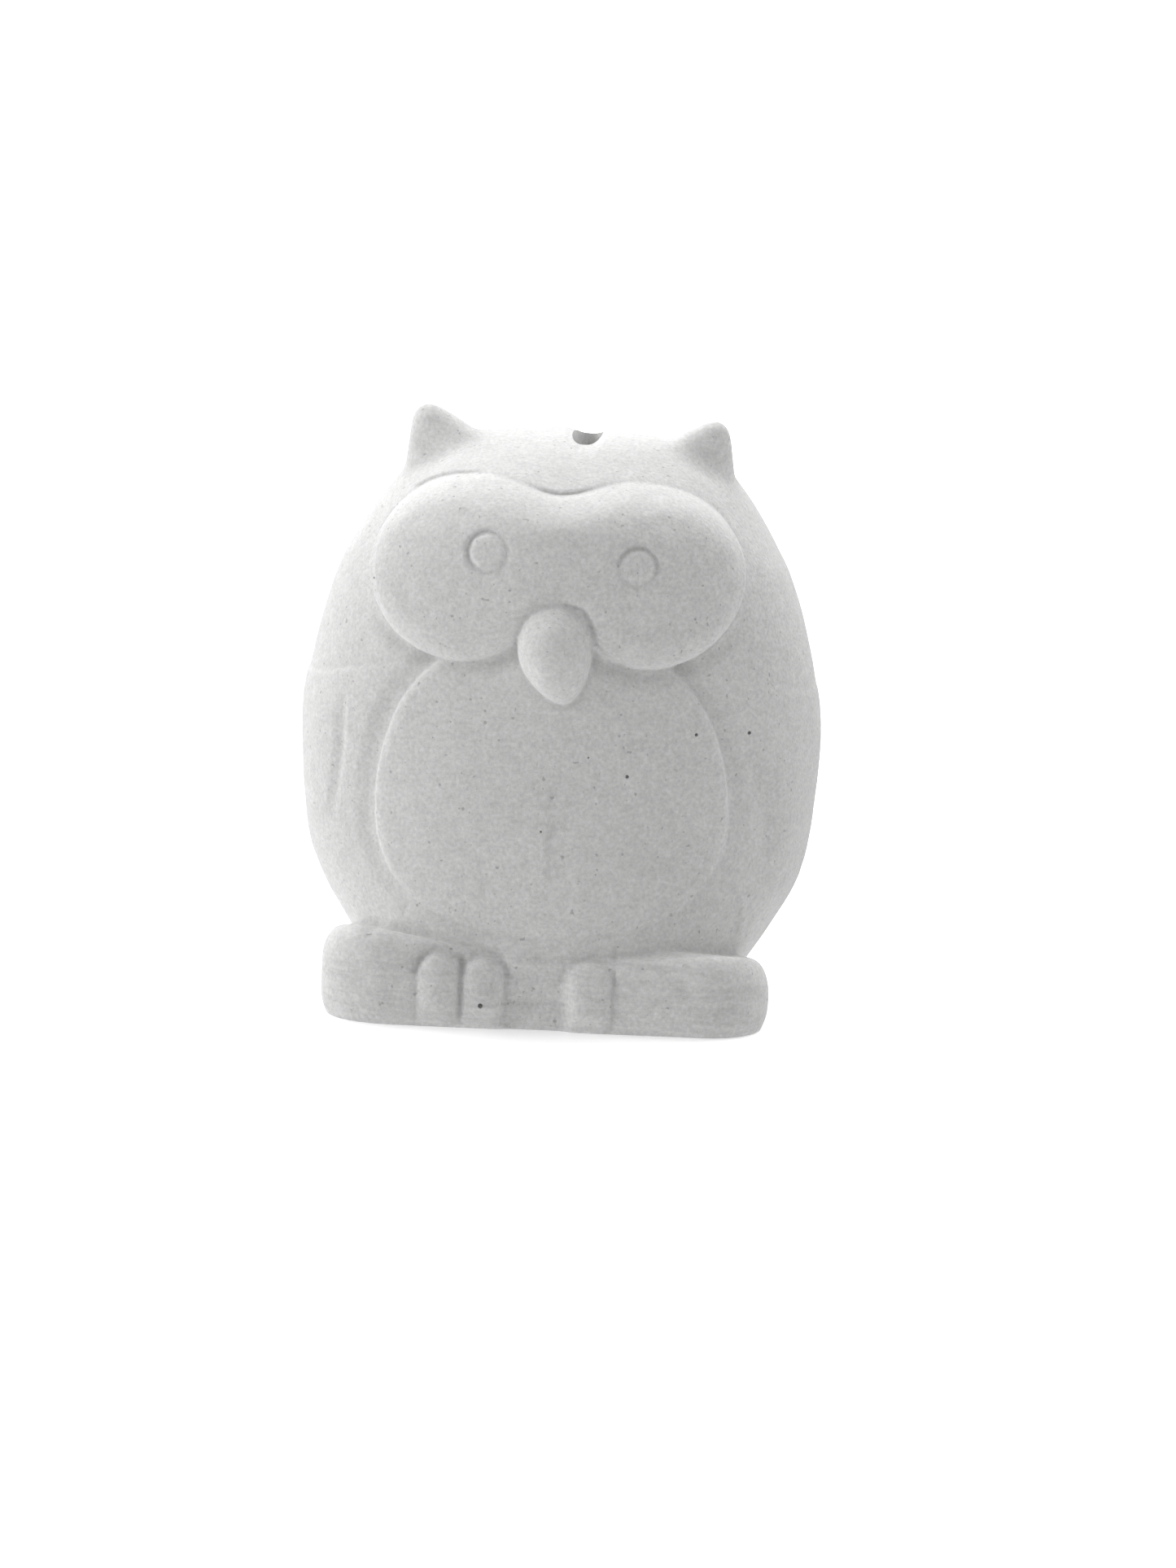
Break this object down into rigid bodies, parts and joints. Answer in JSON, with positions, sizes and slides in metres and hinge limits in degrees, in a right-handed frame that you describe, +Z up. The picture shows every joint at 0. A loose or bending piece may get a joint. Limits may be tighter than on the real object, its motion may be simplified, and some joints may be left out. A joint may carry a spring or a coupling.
{
  "type": "figural coin bank",
  "caption": "Squat hollow ceramic owl with a coin slot cut front to back over its crown and a soft pull-out stopper in the hole in its flat base.",
  "frame": {"origin": "on the plane the owl stands on, under the middle of its box", "axes": "+Z up; the owl faces -Y, and +X is on the right of someone who faces it"},
  "size_m": [0.0986, 0.0894, 0.1107],
  "materials": {
    "bisque": "unglazed white bisque, matt and chalky with a fine grain",
    "stopper_rubber": "soft moulded vinyl, satin, off-white"
  },
  "bodies": {
    "owl": {"ceramic_shell": "bisque"},
    "stopper": {"base_stopper": "stopper_rubber"}
  },
  "joints": [
    {"name": "stopper_pull", "type": "slide", "parent": "owl", "child": "stopper", "axis": [0, 0, -1], "range_m": [0, 0.025]}
  ]
}
